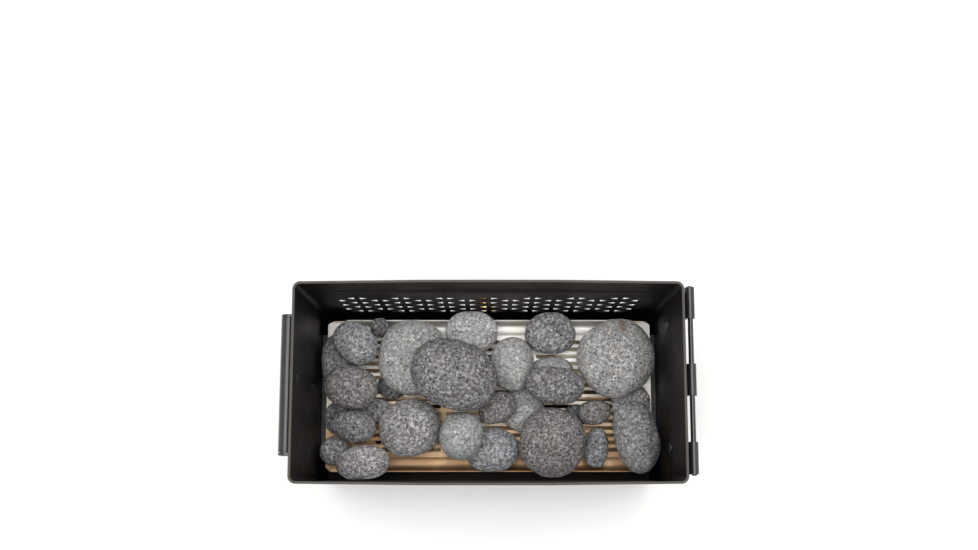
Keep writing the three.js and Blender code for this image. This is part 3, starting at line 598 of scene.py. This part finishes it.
# %% [markdown]
# ## The latch wire
#
# The bail is one bent wire, drawn and bent cold, so its skin stays smooth. Its CAD solid has its shape,
# and smooth shading rounds it.

# %% Latch wire
latch_wire = merged_copy("latch_bail", "latch_wire", flatten=False)
smooth(latch_wire)
dress(latch_wire, DARK_STEEL, "dark_steel", "latch_bail", "latch_bail")
describe(latch_wire)

# %% [markdown]
# ## Turned shapes
#
# Rivets, weld beads and threads are all round about a line, so one helper makes them. It draws a ring,
# then pulls it along step by step and widens or narrows it each time, as a potter raises a wall.

# %% A helper that raises a shape ring by ring


def raised(name, rings, sides=24):
    """A closed shape round the Z axis, from pairs of height and radius in mm, lowest first."""
    first_height, first_radius = rings[0]
    bpy.ops.object.select_all(action="DESELECT")
    bpy.ops.mesh.primitive_circle_add(
        vertices=sides,
        radius=first_radius * MM,
        location=(0, 0, first_height * MM),
        fill_type="NGON",
    )
    piece = bpy.context.object
    piece.name = piece.data.name = name
    bpy.ops.object.transform_apply(location=True)
    bpy.ops.object.mode_set(mode="EDIT")
    bpy.ops.mesh.select_all(action="SELECT")
    for (low, inner), (high, outer) in zip(rings, rings[1:]):
        step = (0, 0, (high - low) * MM)
        bpy.ops.mesh.extrude_region_move(TRANSFORM_OT_translate={"value": step})
        scale = outer / inner
        bpy.ops.transform.resize(value=(scale, scale, 1), center_override=(0, 0, high * MM))
    bpy.ops.mesh.select_all(action="SELECT")
    bpy.ops.mesh.normals_make_consistent(inside=False)
    bpy.ops.object.mode_set(mode="OBJECT")
    return piece


def settle(piece, place, turn=(0, 0, 0), scale=(1, 1, 1)):
    """Moves a piece made at the origin to its place, and bakes that into its mesh."""
    piece.location = place
    piece.rotation_euler = [math.radians(angle) for angle in turn]
    piece.scale = scale
    pick(piece)
    bpy.ops.object.transform_apply(location=True, rotation=True, scale=True)
    smooth(piece)


def own_copy(piece, name):
    """A second piece of the same shape with its own mesh."""
    twin = bpy.data.objects.new(name, piece.data.copy())
    twin.data.name = name
    bpy.context.scene.collection.objects.link(twin)
    return twin


# %% [markdown]
# ## Rivets
#
# Each rivet has a button head on both sides of the wall, set with a domed punch. The head is a low dome
# over a short straight edge. All six are made the same way, as long and as wide as the CAD has them,
# and turned so that the axis runs through the end wall.

# %% Rivets
HEAD_STEPS = 5
HEAD_EDGE = 0.35
HEAD_RISE = 1.15
SHANK_SHARE = 0.46
SHOULDER = 0.01


def dome(height, radius, rise):
    """Rings of a low dome that starts at this height and radius and closes at its top."""
    angles = [math.pi / 2 * step / HEAD_STEPS for step in range(HEAD_STEPS)]
    return [(height + rise * math.sin(angle), radius * math.cos(angle)) for angle in angles]


def rivet(node, name):
    """A two-headed rivet as long and wide as its CAD part."""
    low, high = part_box(node)
    length = (high.x - low.x) / MM
    radius = (high.y - low.y) / 2 / MM
    brow = length / 2 - HEAD_RISE
    neck = brow - HEAD_EDGE
    upper = [(neck, radius), *dome(brow, radius, HEAD_RISE)]
    lower = [(-height, ring) for height, ring in reversed(upper)]
    shank = SHANK_SHARE * radius
    button = raised(name, [*lower, (-neck + SHOULDER, shank), (neck - SHOULDER, shank), *upper])
    settle(button, (low + high) / 2, turn=(0, 90, 0))
    return button


for node in sorted(n for n in frame["nodes"] if "rivet" in n):
    made = rivet(node, node.replace("rivet", "button"))
    dress(made, DARK_STEEL, "dark_steel", "can", node)
    describe(made)

# %% [markdown]
# ## Welds
#
# The can is one folded sheet, closed by a seam down the left-hand end wall. A seam welder lays that
# bead as a row of overlapping puddles, so it is a low ridge with a ripple for each puddle. It shows
# inside and outside, a little behind the middle of the wall. Spot welds hold the wall to the flange
# under the latch, and each leaves a low button inside.

# %% Weld seam and spot welds
SEAM_Y = 4
SEAM_FOOT = 4
SEAM_TOP_INSIDE = 172
SEAM_TOP_OUTSIDE = 108
RIPPLE = 1.6
SEAM_HALF_WIDTH = 1.1
SEAM_RISE = 0.4
SPOT_Y = 4.2
SPOT_HEIGHTS = (163, 94)
SPOT_RADIUS = 2.2
SPOT_EDGE = 0.05
SPOT_RISE = 0.7
HEM_PROUD = 0.6
SHEET = 1.2
wall_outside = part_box("can_body")[0].x / MM + HEM_PROUD
wall_inside = wall_outside + SHEET


def weld_seam(name, x, top):
    """A rippled bead that runs up a wall, narrowest at its ends and widest within each puddle."""
    rings = [(0, 0.6)]
    for puddle in range(int((top - SEAM_FOOT) / RIPPLE)):
        middle = (puddle + 0.5) * RIPPLE
        rings += [(middle - 0.35 * RIPPLE, 0.86), (middle + 0.2 * RIPPLE, 1.0)]
    rings.append((rings[-1][0] + 0.6, 0.5))
    bead = raised(name, rings, sides=10)
    settle(bead, (x * MM, SEAM_Y * MM, SEAM_FOOT * MM), scale=(SEAM_RISE, SEAM_HALF_WIDTH, 1))
    dress(bead, BLACK_PAINT, "black_paint", "can")
    describe(bead)


weld_seam("weld_seam_inside", wall_inside, SEAM_TOP_INSIDE)
weld_seam("weld_seam_outside", wall_outside, SEAM_TOP_OUTSIDE)

spot_rings = [(0, SPOT_RADIUS), *dome(SPOT_EDGE, SPOT_RADIUS, SPOT_RISE)]
spot = raised("weld_spot_1", spot_rings, sides=16)
twins = [spot, own_copy(spot, "weld_spot_2")]
for button, height in zip(twins, SPOT_HEIGHTS):
    settle(button, (wall_inside * MM, SPOT_Y * MM, height * MM), turn=(0, 90, 0))
    # Painted highlight: the spots take the paler rubbed coat so that they show as bright dots.
    dress(button, RUBBED_AND_HIGHLIGHT_STEEL, "dark_steel", "can")
    describe(button)

# %% [markdown]
# ## The inlet's thread
#
# The hose screws on to the spigot of the inlet. A cut thread reads as even rings from any distance, so
# a row of sharp rings stands for it.

# %% Thread
THREAD_PITCH = 1.3
THREAD_ROOT = 4.45
THREAD_CREST = 4.95
THREAD_LENGTH = 5.2
THREAD_SETBACK = 2.6
inlet_low, inlet_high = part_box("gas_inlet")
inlet_middle = (inlet_low + inlet_high) / 2
thread_rings = [(0, THREAD_ROOT)]
for turn in range(int(THREAD_LENGTH / THREAD_PITCH)):
    start = turn * THREAD_PITCH
    thread_rings += [(start + 0.5 * THREAD_PITCH, THREAD_CREST), (start + THREAD_PITCH, THREAD_ROOT)]
thread = raised("inlet_thread", thread_rings, sides=32)
settle(thread, (inlet_middle.x, inlet_high.y - THREAD_SETBACK * MM, inlet_middle.z), turn=(90, 0, 0))
dress(thread, BRASS, "brass", "can")
describe(thread)

# %% [markdown]
# ## Stones
#
# A lava pebble starts as its CAD solid, a rough ball of eighty triangles. Subdivision turns that into a
# smooth pebble but draws it in, so it is scaled back to the size it had. Four displacements then shape
# its skin: slow lumps that make each stone its own, shallow dents, a fine roughness, and round hollows
# where bubbles have burst. The textures read the stone's own place in the box, so no two stones get the
# same skin.

# %% Textures that carve the stones


def clouds(name, size):
    """Soft random lumps of this size in mm."""
    texture = bpy.data.textures.new(name, "CLOUDS")
    texture.noise_scale = size * MM
    texture.noise_depth = 2
    return texture


def bubbles(name, size):
    """Round hollows: dark only close to scattered points, about this far apart in mm."""
    texture = bpy.data.textures.new(name, "VORONOI")
    texture.noise_scale = size * MM
    texture.use_color_ramp = True
    texture.color_ramp.elements[0].position = 0.12
    texture.color_ramp.elements[0].color = (0, 0, 0, 1)
    texture.color_ramp.elements[1].position = 0.42
    texture.color_ramp.elements[1].color = (1, 1, 1, 1)
    return texture


LUMPS = clouds("stone_lumps", 26)
DENTS = clouds("stone_dents", 8)
ROUGHNESS = clouds("stone_roughness", 2.6)
BUBBLES = bubbles("stone_bubbles", 3.2)
print("made textures", [texture.name for texture in (LUMPS, DENTS, ROUGHNESS, BUBBLES)])

# %% Carve every stone
LUMP_DEPTH = 3.2
DENT_DEPTH = 0.8
ROUGHNESS_DEPTH = 0.35
BUBBLE_DEPTH = 0.3
COARSE_BUBBLE_DEPTH = 0.55
COARSE_SHADES = ("stone_dark", "stone_brown", "stone_blue")
BIG_STONE = 36 * MM


def slot_of(node):
    """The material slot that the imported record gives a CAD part."""
    subparts = frame["record"]["subparts"]
    return next(part["material_slot"] for part in subparts if part["node"] == node)


def displace(piece, texture, depth, middle=0.5):
    """Moves the skin by this depth in mm for a full tone: out above the middle tone, and in below it."""
    strength = depth * MM
    finish_modifier(
        piece,
        "DISPLACE",
        texture=texture,
        texture_coords="LOCAL",
        strength=strength,
        mid_level=middle,
    )


def pebble(node, name, slot):
    """One carved stone, the size of its CAD part."""
    low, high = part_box(node)
    stone = merged_copy(node, name, flatten=False)
    levels = 4 if max(high - low) > BIG_STONE else 3
    finish_modifier(stone, "SUBSURF", levels=levels, render_levels=levels)
    factors = [wanted / drawn for wanted, drawn in zip(high - low, stone.dimensions)]
    bpy.ops.object.mode_set(mode="EDIT")
    bpy.ops.mesh.select_all(action="SELECT")
    bpy.ops.transform.resize(value=factors, center_override=(low + high) / 2)
    bpy.ops.object.mode_set(mode="OBJECT")
    displace(stone, LUMPS, LUMP_DEPTH)
    displace(stone, DENTS, DENT_DEPTH)
    displace(stone, ROUGHNESS, ROUGHNESS_DEPTH)
    bubble_depth = COARSE_BUBBLE_DEPTH if slot in COARSE_SHADES else BUBBLE_DEPTH
    displace(stone, BUBBLES, bubble_depth, middle=1.0)
    pick(stone)
    bpy.ops.object.shade_smooth()
    return stone


for node in sorted(n for n in frame["nodes"] if n.startswith("lava_stone")):
    slot = slot_of(node)
    stone = pebble(node, node.replace("lava_", ""), slot)
    finish = OWN_FINISHES.get(stone.name, STONE_FINISHES[slot])
    dress(stone, finish, slot, "stones", node)
    describe(stone)
